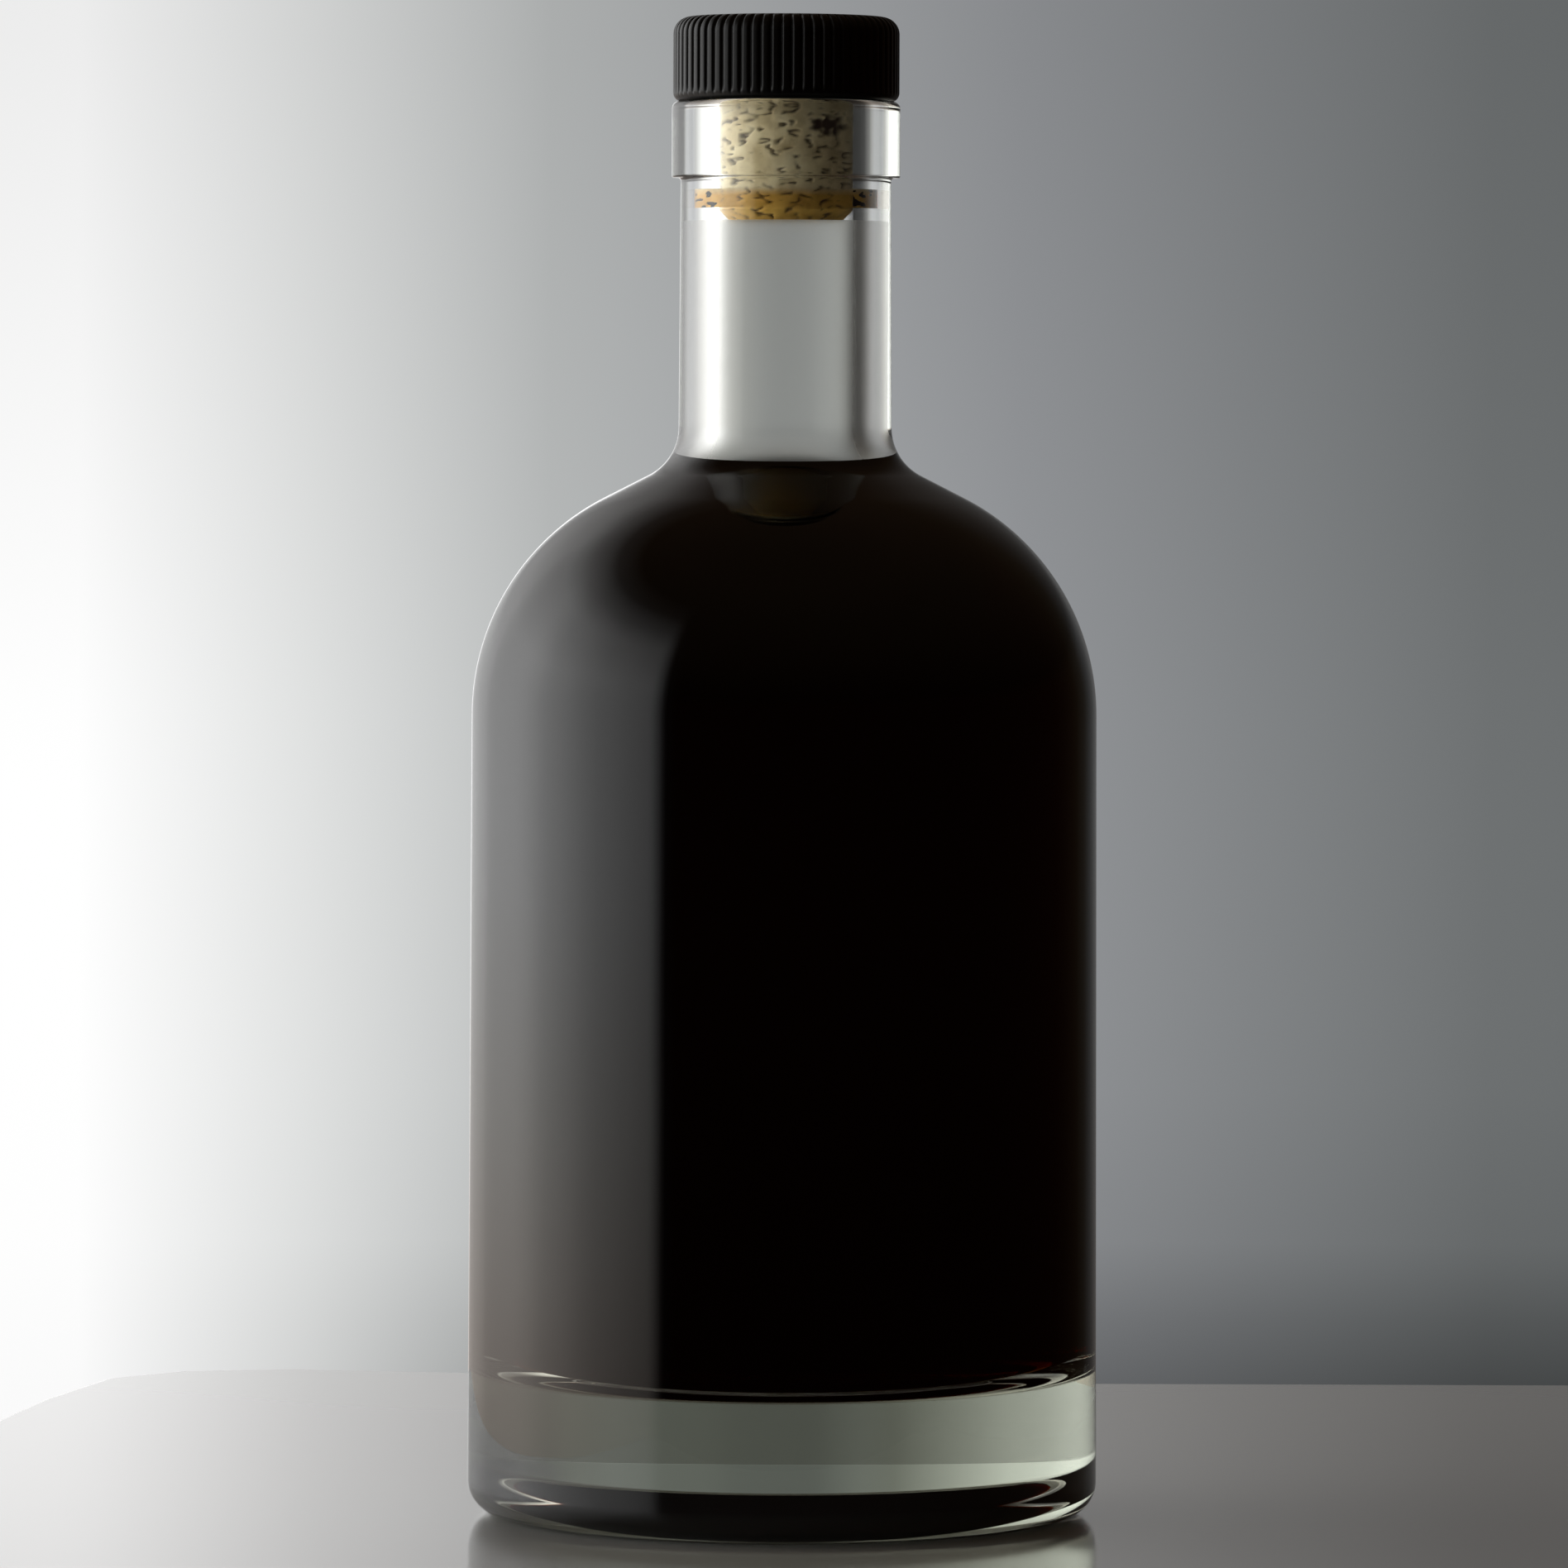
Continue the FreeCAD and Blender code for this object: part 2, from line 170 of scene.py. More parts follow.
def shoulder_run(height, offset, narrow_radius, narrow_round):
    """Shoulder arc, sloping line and hollow arc up to a straight neck, going up."""
    turn = math.radians(SHOULDER_TURN)
    centre = (SHOULDER_CENTRE, height)
    radius = SHOULDER_EDGE - SHOULDER_CENTRE - offset
    shoulder = arc(centre, radius, 0, SHOULDER_TURN, steps=40)
    start = shoulder[-1][:2]
    across = narrow_radius + narrow_round * (1 - math.cos(turn))
    meet = (across, start[1] + (start[0] - across) / math.tan(turn))
    middle = (narrow_radius + narrow_round, meet[1] + narrow_round * math.sin(turn))
    hollow = arc(middle, narrow_round, HALF_TURN + SHOULDER_TURN, HALF_TURN, steps=28)
    return shoulder, line(start, meet, steps=4), hollow


def backwards(points):
    """The same run walked the other way, with its outside on the other side."""
    return [(across, up, (-nr, -nz)) for across, up, (nr, nz) in reversed(points)]


def cavity_runs(offset=0):
    """The inside from the floor's centre up to the end of the flare, moved outwards by offset."""
    inner = BODY_RADIUS - WALL
    corner_centre = (inner - FLOOR_CORNER_RADIUS, FLOOR_HEIGHT + FLOOR_CORNER_RADIUS)
    shoulder, cone, flare = shoulder_run(INNER_SHOULDER_HEIGHT, WALL, BORE_RADIUS, FLARE_RADIUS)
    runs = [
        line((0, FLOOR_HEIGHT), (corner_centre[0], FLOOR_HEIGHT), steps=6),
        arc(corner_centre, FLOOR_CORNER_RADIUS, -RIGHT_ANGLE, 0, steps=32),
        line((inner, corner_centre[1]), (SHOULDER_EDGE - WALL, INNER_SHOULDER_HEIGHT), steps=8),
        shoulder,
        cone,
        flare,
    ]
    return [
        [(r + offset * nr if r else 0, z + offset * nz, (nr, nz)) for r, z, (nr, nz) in run]
        for run in runs
    ]


def cut_at(points, height):
    """The part of a rising run below a height, ending exactly on it."""
    kept = [point for point in points if point[1] < height]
    if len(kept) == len(points):
        return kept
    low, high = kept[-1], points[len(kept)]
    share = (height - low[1]) / (high[1] - low[1])
    normal = tuple(a + (b - a) * share for a, b in zip(low[2], high[2]))
    return kept + [(low[0] + (high[0] - low[0]) * share, height, normal)]


def rest_above(points, height):
    """The part of a rising run above a height, starting exactly on it."""
    start = cut_at(points, height)[-1]
    return [start] + [point for point in points if point[1] > height]


# ---------------------------------------------------------------- node helpers
def feed(links, socket, value):
    """Link a socket to another one, or set it to a plain value."""
    if isinstance(value, bpy.types.NodeSocket):
        links.new(value, socket)
    else:
        socket.default_value = value


def new_material(name):
    material = bpy.data.materials.new(name)
    material.use_nodes = True
    nodes = material.node_tree.nodes
    nodes.clear()
    output = nodes.new("ShaderNodeOutputMaterial")
    return material, nodes, material.node_tree.links, output


def math_node(nodes, links, operation, *values):
    node = nodes.new("ShaderNodeMath")
    node.operation = operation
    for socket, value in zip(node.inputs, values):
        feed(links, socket, value)
    return node.outputs["Value"]


def mix_colours(nodes, links, kind, factor, first, second):
    node = nodes.new("ShaderNodeMix")
    node.data_type = "RGBA"
    node.blend_type = kind
    for name, value in (("Factor", factor), ("A", first), ("B", second)):
        feed(links, node.inputs[name], value)
    return node.outputs["Result"]


def colour_ramp(nodes, links, factor, stops):
    """Colour ramp with (position, colour) stops."""
    ramp = nodes.new("ShaderNodeValToRGB")
    elements = ramp.color_ramp.elements
    # where a new stop starts doesn't matter, since all are moved to their places
    while len(elements) < len(stops):
        elements.new(0.5)
    for element, (position, colour) in zip(elements, stops):
        element.position = position
        element.color = (*colour, 1)
    links.new(factor, ramp.inputs["Fac"])
    return ramp.outputs["Color"]


def object_noise(nodes, links, scale, detail, stretch=(1, 1, 1)):
    """Noise in the piece's own metres, so that its grain keeps its real size."""
    place = nodes.new("ShaderNodeTexCoord")
    mapping = nodes.new("ShaderNodeMapping")
    mapping.inputs["Scale"].default_value = stretch
    texture = nodes.new("ShaderNodeTexNoise")
    texture.inputs["Scale"].default_value = scale
    texture.inputs["Detail"].default_value = detail
    links.new(place.outputs["Object"], mapping.inputs["Vector"])
    links.new(mapping.outputs["Vector"], texture.inputs["Vector"])
    return texture.outputs["Fac"]


def attribute(nodes, name):
    node = nodes.new("ShaderNodeAttribute")
    node.attribute_name = name
    return node.outputs["Fac"]


def bump(nodes, links, height, strength, distance):
    node = nodes.new("ShaderNodeBump")
    node.inputs["Strength"].default_value = strength
    node.inputs["Distance"].default_value = distance
    links.new(height, node.inputs["Height"])
    return node.outputs["Normal"]


# ---------------------------------------------------------------- materials
GLASS_TINT = (0.45, 0.50, 0.38)
GLASS_DENSITY = 20
WHISKY_TINT = (0.80, 0.45, 0.10)
WHISKY_DENSITY = 900
MIST = 0.28
# the Fresnel share reaches 1 where light can't leave the glass
TOTAL_REFLECTION = 0.99
# tones as (position in the grain, colour)
CORK_TONES = ((0.30, (0.62, 0.50, 0.27)), (0.48, (0.80, 0.68, 0.40)), (0.62, (0.90, 0.79, 0.50)))
CORK_ROUGHNESS = 0.75
PORE_COLOUR = (0.06, 0.035, 0.02, 1)
SOAKED_TINT = (0.95, 0.68, 0.20, 1)
CAP_TONES = ((0.35, (0.0022, 0.0027, 0.0023)), (0.70, (0.0045, 0.0052, 0.0046)))
CAP_ROUGHNESS = 0.36
CAP_IOR = 1.38
TABLE_TONES = ((0.3, (0.42, 0.42, 0.395)), (0.7, (0.45, 0.45, 0.425)))
TABLE_ROUGHNESS = 0.13
TABLE_IOR = 2.4


def absorb(nodes, links, output, colour, density):
    volume = nodes.new("ShaderNodeVolumeAbsorption")
    volume.inputs["Color"].default_value = (*colour, 1)
    volume.inputs["Density"].default_value = density
    links.new(volume.outputs["Volume"], output.inputs["Volume"])


def clear_shader(nodes, kind, ior, roughness=0):
    """Shader that lets light through: glass, or refraction alone."""
    shader = nodes.new(kind)
    shader.inputs["IOR"].default_value = ior
    shader.inputs["Roughness"].default_value = roughness
    return shader


def solid_shader(nodes, links, output, colour, roughness):
    shader = nodes.new("ShaderNodeBsdfPrincipled")
    shader.inputs["Roughness"].default_value = roughness
    links.new(colour, shader.inputs["Base Color"])
    links.new(shader.outputs["BSDF"], output.inputs["Surface"])
    return shader


def make_glass(name, roughness):
    """Dry glass with the faint ripple of a moulded bottle, sharp or misted."""
    material, nodes, links, output = new_material(name)
    glass = clear_shader(nodes, "ShaderNodeBsdfGlass", GLASS_IOR, roughness)
    ripple = object_noise(nodes, links, scale=55, detail=2, stretch=(1, 1, 0.45))
    links.new(bump(nodes, links, ripple, strength=0.06, distance=0.0004), glass.inputs["Normal"])
    links.new(glass.outputs["BSDF"], output.inputs["Surface"])
    absorb(nodes, links, output, GLASS_TINT, GLASS_DENSITY)
    return material


def make_wetted_glass():
    """Inner wall under the drink: it bends light, and mirrors only what can't leave the glass."""
    material, nodes, links, output = new_material("wetted_glass")
    bend = clear_shader(nodes, "ShaderNodeBsdfRefraction", GLASS_IOR)
    mirror = nodes.new("ShaderNodeBsdfGlossy")
    mirror.inputs["Roughness"].default_value = 0
    fresnel = nodes.new("ShaderNodeFresnel")
    fresnel.inputs["IOR"].default_value = GLASS_IOR
    total = math_node(nodes, links, "GREATER_THAN", fresnel.outputs["Fac"], TOTAL_REFLECTION)
    mix = nodes.new("ShaderNodeMixShader")
    links.new(total, mix.inputs["Fac"])
    links.new(bend.outputs["BSDF"], mix.inputs[1])
    links.new(mirror.outputs["BSDF"], mix.inputs[2])
    links.new(mix.outputs["Shader"], output.inputs["Surface"])
    absorb(nodes, links, output, GLASS_TINT, GLASS_DENSITY)
    return material


def make_whisky_side():
    """The drink where it touches glass."""
    material, nodes, links, output = new_material("whisky_at_glass")
    bend = clear_shader(nodes, "ShaderNodeBsdfRefraction", WHISKY_IOR)
    links.new(bend.outputs["BSDF"], output.inputs["Surface"])
    absorb(nodes, links, output, WHISKY_TINT, WHISKY_DENSITY)
    return material


def make_whisky_surface():
    """The drink's free surface, with a trace of ripple."""
    material, nodes, links, output = new_material("whisky_surface")
    glass = clear_shader(nodes, "ShaderNodeBsdfGlass", WHISKY_IOR)
    ripple = object_noise(nodes, links, scale=90, detail=1)
    links.new(bump(nodes, links, ripple, strength=0.02, distance=0.0004), glass.inputs["Normal"])
    links.new(glass.outputs["BSDF"], output.inputs["Surface"])
    absorb(nodes, links, output, WHISKY_TINT, WHISKY_DENSITY)
    return material


def make_cork_material():
    """Pale grain, dark in the pores and amber where the whisky has soaked it."""
    material, nodes, links, output = new_material("natural_cork")
    grain = object_noise(nodes, links, scale=420, detail=6, stretch=(1, 1, 0.8))
    tone = colour_ramp(nodes, links, grain, CORK_TONES)
    pitted = mix_colours(nodes, links, "MIX", attribute(nodes, "pit"), tone, PORE_COLOUR)
    soaked = mix_colours(nodes, links, "MULTIPLY", attribute(nodes, "wet"), pitted, SOAKED_TINT)
    shader = solid_shader(nodes, links, output, soaked, CORK_ROUGHNESS)
    links.new(bump(nodes, links, grain, strength=0.4, distance=0.0002), shader.inputs["Normal"])
    return material


def make_cap_material():
    """Matt black moulding with a fine grain."""
    material, nodes, links, output = new_material("black_cap")
    grain = object_noise(nodes, links, scale=2500, detail=4)
    tone = colour_ramp(nodes, links, grain, CAP_TONES)
    shader = solid_shader(nodes, links, output, tone, CAP_ROUGHNESS)
    shader.inputs["IOR"].default_value = CAP_IOR
    links.new(bump(nodes, links, grain, strength=0.25, distance=0.00004), shader.inputs["Normal"])
    return material


def make_table_material():
    """Pale lacquer that mirrors the room at a low angle."""
    material, nodes, links, output = new_material("pale_table")
    cloud = object_noise(nodes, links, scale=3, detail=2)
    tone = colour_ramp(nodes, links, cloud, TABLE_TONES)
    shader = solid_shader(nodes, links, output, tone, TABLE_ROUGHNESS)
    shader.inputs["IOR"].default_value = TABLE_IOR
    return material


# ---------------------------------------------------------------- pieces
def add_piece(name, mesh, materials, slot, *nodes):
    piece = bpy.data.objects.new(name, mesh)
    bpy.context.scene.collection.objects.link(piece)
    for material in materials:
        mesh.materials.append(material)
    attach(piece, "root")
    if nodes:
        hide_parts(*nodes)
    return piece


def pushup_run():
    """Underside of the foot, from the axis out to the bearing ring: flat crown, round, cone."""
    slope = math.radians(PUSHUP_SLOPE)
    cone_top = PUSHUP_HEIGHT - PUSHUP_ROUND * (1 - math.cos(slope))
    cone_radius = BEARING_EDGE - cone_top / math.tan(slope)
    crown_radius = cone_radius - PUSHUP_ROUND * math.sin(slope)
    centre = (crown_radius, PUSHUP_HEIGHT - PUSHUP_ROUND)
    return [
        line((0, PUSHUP_HEIGHT), (crown_radius, PUSHUP_HEIGHT), steps=4),
        arc(centre, PUSHUP_ROUND, RIGHT_ANGLE, RIGHT_ANGLE - PUSHUP_SLOPE, steps=32),
        line((cone_radius, cone_top), (BEARING_EDGE, 0), steps=6),
    ]


def outer_runs():
    """The outside of the glass, from the foot up, over the lip and into the mouth."""
    shoulder, cone, root = shoulder_run(SHOULDER_HEIGHT, 0, NECK_ROOT_RADIUS, ROOT_RADIUS)
    heel = (BODY_RADIUS - HEEL_RADIUS, HEEL_RADIUS)
    lip_root = (NECK_TOP_RADIUS + LIP_ROOT_ROUND, LIP_BASE - LIP_ROOT_ROUND)
    lip_edge = (LIP_RADIUS - LIP_EDGE_ROUND, LIP_BASE + LIP_EDGE_ROUND)
    lip_top = (LIP_RADIUS - LIP_TOP_ROUND, MOUTH_HEIGHT - LIP_TOP_ROUND)
    mouth = (BORE_RADIUS + MOUTH_ROUND, MOUTH_HEIGHT - MOUTH_ROUND)
    return pushup_run() + [
        line((BEARING_EDGE, 0), (heel[0], 0)),
        arc(heel, HEEL_RADIUS, -RIGHT_ANGLE, 0, steps=24),
        line((BODY_RADIUS, HEEL_RADIUS), (SHOULDER_EDGE, SHOULDER_HEIGHT), steps=8),
        shoulder,
        cone,
        root,
        line((NECK_ROOT_RADIUS, root[-1][1]), (NECK_TOP_RADIUS, lip_root[1]), steps=4),
        arc(lip_root, LIP_ROOT_ROUND, HALF_TURN, RIGHT_ANGLE, steps=10),
        line((lip_root[0], LIP_BASE), (lip_edge[0], LIP_BASE)),
        arc(lip_edge, LIP_EDGE_ROUND, -RIGHT_ANGLE, 0, steps=10),
        line((LIP_RADIUS, lip_edge[1]), (LIP_RADIUS, lip_top[1])),
        arc(lip_top, LIP_TOP_ROUND, 0, RIGHT_ANGLE, steps=14),
        line((lip_top[0], MOUTH_HEIGHT), (mouth[0], MOUTH_HEIGHT)),
        arc(mouth, MOUTH_ROUND, RIGHT_ANGLE, HALF_TURN, steps=12),
    ]


def add_bottle():
    """The glass: sharp outside and round the cork, wetted under the drink, misted between them."""
    inside = cavity_runs()
    flare = inside.pop()
    wetted_flare = cut_at(flare, FILL_LEVEL + MENISCUS_RISE)
    dry_flare = rest_above(flare, FILL_LEVEL + MENISCUS_RISE)
    corked = line((BORE_RADIUS, MOUTH_HEIGHT - MOUTH_ROUND), (BORE_RADIUS, CORK_END), steps=4)
    empty_bore = line((BORE_RADIUS, CORK_END), (BORE_RADIUS, flare[-1][1]), steps=4)
    misted = [empty_bore, backwards(dry_flare)]
    wetted = [backwards(run) for run in reversed(inside + [wetted_flare])]
    sides = (outer_runs() + [corked], wetted, misted)
    mesh = spin("bottle", [(run, slot) for slot, side in enumerate(sides) for run in side])
    sharp, wet = make_glass("bottle_glass", 0), make_wetted_glass()
    glasses = [sharp, wet, make_glass("misted_glass", MIST)]
    return add_piece("glass_bottle", mesh, glasses, "glass", "bottle")


def add_whisky():
    """The drink, which reaches just into the glass, with its surface drawn up at the edge."""
    runs = cavity_runs(DRINK_OVERLAP)
    flare = runs.pop()
    wetted = runs + [cut_at(flare, FILL_LEVEL + MENISCUS_RISE)]
    contact = wetted[-1][-1]
    surface = []
    steps = 24
    for i in range(steps + 1):
        inset = contact[0] * (i / steps) ** 2
        rise = MENISCUS_RISE * math.exp(-inset / MENISCUS_LENGTH)
        slope = rise / MENISCUS_LENGTH
        length = math.hypot(slope, 1)
        surface.append((contact[0] - inset, FILL_LEVEL + rise, (-slope / length, 1 / length)))
    mesh = spin("whisky", [(run, 0) for run in wetted] + [(surface, 1)])
    drinks = [make_whisky_side(), make_whisky_surface()]
    return add_piece("whisky_fill", mesh, drinks, "whisky", "whisky")


def add_film():
    """Whisky caught between the cork and the bore."""
    outer, inner = BORE_RADIUS + FILM_INTO_GLASS, CORK_RADIUS - FILM_INTO_CORK
    ring = [
        line((inner, FILM_BOTTOM), (outer, FILM_BOTTOM)),
        line((outer, FILM_BOTTOM), (outer, FILM_TOP), steps=4),
        line((outer, FILM_TOP), (inner, FILM_TOP)),
        line((inner, FILM_TOP), (inner, FILM_BOTTOM), steps=4),
    ]
    mesh = spin("film", [(run, 0) for run in ring])
    return add_piece("whisky_film", mesh, [bpy.data.materials["whisky_at_glass"]], "whisky")


# fissures: noise stretched along the cork's rings, sharpened and broken up
FISSURE_ACROSS = 0.5
FISSURE_UP = 1.3
FISSURE_SHARPNESS = 5
BREAK_SCALE = 0.9
BREAK_SHIFT = Vector((4, 1, 7))
BREAK_CONTRAST = 4
BREAK_BIAS = 0.12
# darkest patch of pores: place and radius in millimetres, and how ragged, flat and sharp it is
PATCH_PLACE = Vector((5.4, -8.0, 200.8))
PATCH_RADIUS = 2.8
PATCH_RAGGED = 0.9
PATCH_RAGGED_SCALE = 1.2
PATCH_FLAT = 1.7
PATCH_EDGE = 2
PIT_DEPTH = 0.4


def clamp(value):
    return max(0, min(1, value))


def cork_pit(place):
    """Depth of the cork's pores and cracks, from 0 to 1, at a point in millimetres."""
    stretched = Vector((place.x * FISSURE_ACROSS, place.y * FISSURE_ACROSS, place.z * FISSURE_UP))
    crack = 1 - abs(noise.noise(stretched)) * FISSURE_SHARPNESS
    broken = noise.noise(place * BREAK_SCALE + BREAK_SHIFT) * BREAK_CONTRAST - BREAK_BIAS
    ragged = PATCH_RADIUS * (1 + PATCH_RAGGED * noise.noise(place * PATCH_RAGGED_SCALE))
    away = place - PATCH_PLACE
    patch = PATCH_EDGE * (1 - math.hypot(away.x, away.y, PATCH_FLAT * away.z) / ragged)
    return max(clamp(crack) * clamp(broken), clamp(patch))


def add_cork():
    """Chamfered cork whose side is pitted and whose lower end is wet."""
    chamfer_end = (CORK_RADIUS, CORK_END + CORK_CHAMFER)
    runs = [
        line((0, CORK_END), (CORK_RADIUS - CORK_CHAMFER, CORK_END), steps=16),
        line((CORK_RADIUS - CORK_CHAMFER, CORK_END), chamfer_end, steps=8),
        line(chamfer_end, (CORK_RADIUS, MOUTH_HEIGHT), steps=100),
        line((CORK_RADIUS, MOUTH_HEIGHT), (0, MOUTH_HEIGHT)),
    ]
    mesh = spin("cork", [(run, 0) for run in runs])
    pits, wets = [], []
    for vertex in mesh.vertices:
        place = vertex.co / MM
        depth = cork_pit(place)
        pits.append(depth)
        wets.append(clamp(FILM_TOP - place.z))
        if place.z < MOUTH_HEIGHT - MM:
            share = 1 - PIT_DEPTH * depth / max(place.xy.length, 1)
            inward = Vector((place.x, place.y, 0)) * share
            vertex.co.x, vertex.co.y = inward.x * MM, inward.y * MM
    for name, values in (("pit", pits), ("wet", wets)):
        mesh.attributes.new(name, "FLOAT", "POINT").data.foreach_set("value", values)
    return add_piece("natural_cork", mesh, [make_cork_material()], "cork", "cork")


def smooth_step(low, high, value):
    share = clamp((value - low) / (high - low))
    return share * share * (3 - 2 * share)


# the ribs fade in over these ranges: the outward part of the normal, and millimetres above the lip
RIB_FADE_NORMAL = (0.1, 0.5)
RIB_FADE_HEIGHT = (0.5, 2)


def add_cap():
    """Moulded cap whose ribs run into its top round and fade above its bottom round."""
    low_centre = (CAP_RADIUS - CAP_BOTTOM_ROUND, MOUTH_HEIGHT + CAP_BOTTOM_ROUND)
    high_centre = (CAP_RADIUS - CAP_TOP_ROUND, CAP_TOP - CAP_TOP_ROUND)
    runs = [
        line((0, MOUTH_HEIGHT), (low_centre[0], MOUTH_HEIGHT)),
        arc(low_centre, CAP_BOTTOM_ROUND, -RIGHT_ANGLE, 0, steps=8),
        line((CAP_RADIUS, low_centre[1]), (CAP_RADIUS, high_centre[1]), steps=16),
        arc(high_centre, CAP_TOP_ROUND, 0, RIGHT_ANGLE, steps=14),
        line((high_centre[0], CAP_TOP), (0, CAP_TOP), steps=2),
    ]
    outline = [runs[0][0]] + [point for run in runs for point in run[1:]]
    around = RIB_COUNT * RIB_SAMPLES
    pitch = 2 * math.pi * CAP_RADIUS / RIB_COUNT
    fade_low, fade_high = (MOUTH_HEIGHT + height for height in RIB_FADE_HEIGHT)
    vertices, rings, faces = [], [], []
    for radius, height, normal in outline:
        if radius == 0:
            rings.append([len(vertices)] * around)
            vertices.append((0, 0, height * MM))
            continue
        fade = smooth_step(*RIB_FADE_NORMAL, normal[0]) * smooth_step(fade_low, fade_high, height)
        rings.append([len(vertices) + i for i in range(around)])
        for i in range(around):
            offset = ((i % RIB_SAMPLES) / RIB_SAMPLES - 0.5) * pitch
            groove = GROOVE_DEPTH * math.exp(-((offset / GROOVE_WIDTH) ** 2))
            turn = 2 * math.pi * (i / around)
            reach = radius - groove * fade * normal[0]
            level = height - groove * fade * normal[1]
            vertices.append((reach * MM * math.cos(turn), reach * MM * math.sin(turn), level * MM))
    for below, above in zip(rings, rings[1:]):
        for i in range(around):
            j = (i + 1) % around
            corners = [below[i], below[j], above[j], above[i]]
            faces.append(list(dict.fromkeys(corners)))
    mesh = bpy.data.meshes.new("cap")
    mesh.from_pydata(vertices, [], faces)
    mesh.polygons.foreach_set("use_smooth", [True] * len(faces))
    return add_piece("ribbed_cap", mesh, [make_cap_material()], "cap", "cap")


# ---------------------------------------------------------------- surroundings
# the table's edge seen from above, in metres, anticlockwise from its far right corner
TABLE_OUTLINE = (
    (0.17, 0.187), (0.02, 0.187), (-0.04, 0.199), (-0.082, 0.207), (-0.1, 0.203), (-0.112, 0.19),
    (-0.12, 0.155), (-0.128, 0.1), (-0.14, -0.02), (-0.14, -0.13), (-0.12, -0.15), (0.17, -0.15),
)
TABLE_THICKNESS = 0.03
TABLE_ROUND = 0.0015
TABLE_ROUND_STEPS = 4


def add_table():
    """Small pale table top whose back edge and left corner lie behind the bottle."""
    count = len(TABLE_OUTLINE)
    vertices = [(x, y, z) for z in (-TABLE_THICKNESS, 0) for x, y in TABLE_OUTLINE]
    faces = [[count + i, count + (i + 1) % count, (i + 1) % count, i] for i in range(count)]
    faces += [list(range(count)), list(range(count, 2 * count))[::-1]]
    mesh = bpy.data.meshes.new("table")
    mesh.from_pydata(vertices, [], faces)
    mesh.materials.append(make_table_material())
    table = bpy.data.objects.new("table", mesh)
    bpy.context.scene.collection.objects.link(table)
    rounding = table.modifiers.new("rounding", "BEVEL")
    rounding.width = TABLE_ROUND
    rounding.segments = TABLE_ROUND_STEPS
    mesh.shade_smooth()
    rounding.harden_normals = True


# Light by direction, as (degrees to the left of straight behind the bottle, radiance).
# The window is seen by everything but the camera. The wall behind the bottle has one ramp for
# what is mirrored and one for what glass bends into view, which sees it spread wider.
DARK_ROOM = (0.022, 0.006, 0.003)
WINDOW_LIGHT = (
    (4, 0.0), (14, 0.2), (26, 0.75), (35, 1.2), (47, 1.57), (65, 2.5), (73, 2.6), (92, 2.1),
    (108, 1.45), (130, 0.85), (135.5, 0.02), (140, 0.0),
)
WALL_MIRRORED = (
    (-60, DARK_ROOM), (-44, (0.03, 0.018, 0.01)), (-34, (0.045, 0.038, 0.03)), (-26, 0.08),
    (-15, 0.14), (-4.6, 0.14), (-3.5, 0.21), (-2.1, 0.31), (2.0, 0.75), (2.9, 1.05), (3.6, 1.45),
    (5.2, 1.75), (7.5, 0.8), (14, 0.6), (26, 0.32), (40, 0.0), (132, 0.0), (140, DARK_ROOM),
)
WALL_THROUGH_GLASS = (
    (-60, 0.04), (-48, 0.09), (-36, 0.34), (-30, 0.64), (-22, (0.82, 0.83, 0.87)),
    (-9, (0.76, 0.77, 0.81)), (-5, (0.67, 0.68, 0.72)), (2.3, (0.65, 0.66, 0.70)),
    (9.4, (0.68, 0.69, 0.73)), (14, 0.5), (26, 0.32), (40, 0.0), (132, 0.0), (140, 0.04),
)
# what the camera sees straight behind the bottle, going over to a pale grey elsewhere
BACKDROP = (
    (-40, 0.45), (-8, 0.16), (-4.6, 0.144), (-3.5, 0.205), (-2.1, 0.255),
    (2.0, 0.53), (2.9, 0.77), (3.6, 1.0), (8, 1.0), (40, 0.45),
)
BRIGHTEST = 2.6

# How the same lights change with height, as (sine of the elevation, tint).
WINDOW_HEIGHT = (
    (-0.30, (0.30, 0.27, 0.25)), (-0.1145, (0.36, 0.34, 0.32)), (-0.108, (0.56, 0.51, 0.47)),
    (-0.098, (0.60, 0.53, 0.48)), (-0.089, (0.71, 0.65, 0.60)), (-0.0715, (0.84, 0.81, 0.77)),
    (-0.043, 1), (0.26, 1), (0.53, 0.62), (0.64, 0.26), (0.74, 0.04), (0.82, 0),
)
MIRRORED_HEIGHT = (
    (-0.30, (0.30, 0.26, 0.23)), (-0.098, (0.66, 0.60, 0.56)), (-0.043, 1), (0.11, 1),
    (0.18, 0.55), (0.3, 0.43), (0.53, 0.28), (0.64, 0.12), (0.74, 0),
)
THROUGH_HEIGHT = (
    (-0.30, (0.30, 0.25, 0.22)), (-0.098, (0.66, 0.60, 0.56)), (-0.0715, (0.86, 0.84, 0.82)),
    (-0.03, 1), (0.06, 0.50), (0.11, 0.41), (0.3, 0.3), (0.66, 0.1), (0.8, 0),
)
BACKDROP_HEIGHT = ((-0.06, 1), (-0.034, 1), (0.042, 0.84))
# the ceiling's radiance, and the sines of the elevation where it starts and is full
CEILING = (0.06, 0.036, 0.02)
CEILING_START = 0.1
CEILING_FULL = 0.9

# The window's top edge sinks to the left: above the horizon, heights count for this share more
# with each radian left of WINDOW_MIDDLE degrees. The slant grows no more above SLANT_LIMIT.
WINDOW_SLANT = 0.08
WINDOW_MIDDLE = 70
SLANT_LIMIT = 0.6
# how much more of the window's light reaches dull surfaces than the mirroring glass shows
DULL_GAIN = 4.6
